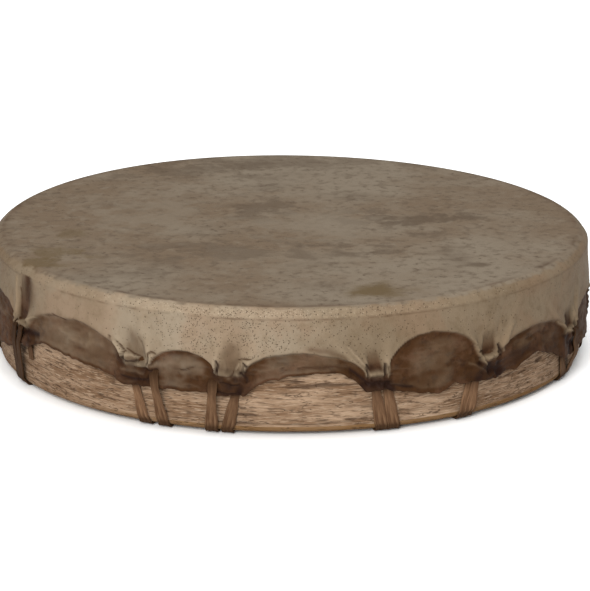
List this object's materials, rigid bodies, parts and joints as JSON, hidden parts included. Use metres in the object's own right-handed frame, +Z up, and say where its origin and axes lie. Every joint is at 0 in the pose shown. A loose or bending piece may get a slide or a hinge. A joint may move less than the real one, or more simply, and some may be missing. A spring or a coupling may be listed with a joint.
{
  "type": "rawhide frame drum",
  "caption": "Round single-headed frame drum: one rawhide drawn over a bent-wood hoop, laced round its lower edge with flat rawhide strips to a hand ring at the open back.",
  "frame": {"origin": "centre of the drum on the surface it stands on, at the underside of the laces where they turn under the hoop", "axes": "+Z up through the playing face, -Y towards the front with the wide bare arch between two ties, +X to its right"},
  "size_m": [0.4191, 0.4103, 0.0857],
  "materials": {
    "rawhide_head": "dry, smoked rawhide, grey-brown with dark pores, browner and darker in the slack arches of its skirt, satin",
    "rawhide_lace": "twisted and flattened rawhide strip, brown with lengthwise streaks, satin",
    "hoop_wood": "bare weathered softwood, pinkish tan with fine broken grain and a rubbed golden lower edge, matt"
  },
  "bodies": {
    "root": {"hoop": "hoop_wood", "drumhead": "rawhide_head", "lace_01": "rawhide_lace", "lace_02": "rawhide_lace", "lace_03": "rawhide_lace", "lace_04": "rawhide_lace", "lace_05": "rawhide_lace", "lace_06": "rawhide_lace", "lace_07": "rawhide_lace", "lace_08": "rawhide_lace", "lace_09": "rawhide_lace", "lace_10": "rawhide_lace", "lace_11": "rawhide_lace", "lace_12": "rawhide_lace", "lace_13": "rawhide_lace", "lace_14": "rawhide_lace", "hand_ring": "rawhide_lace"}
  },
  "joints": []
}
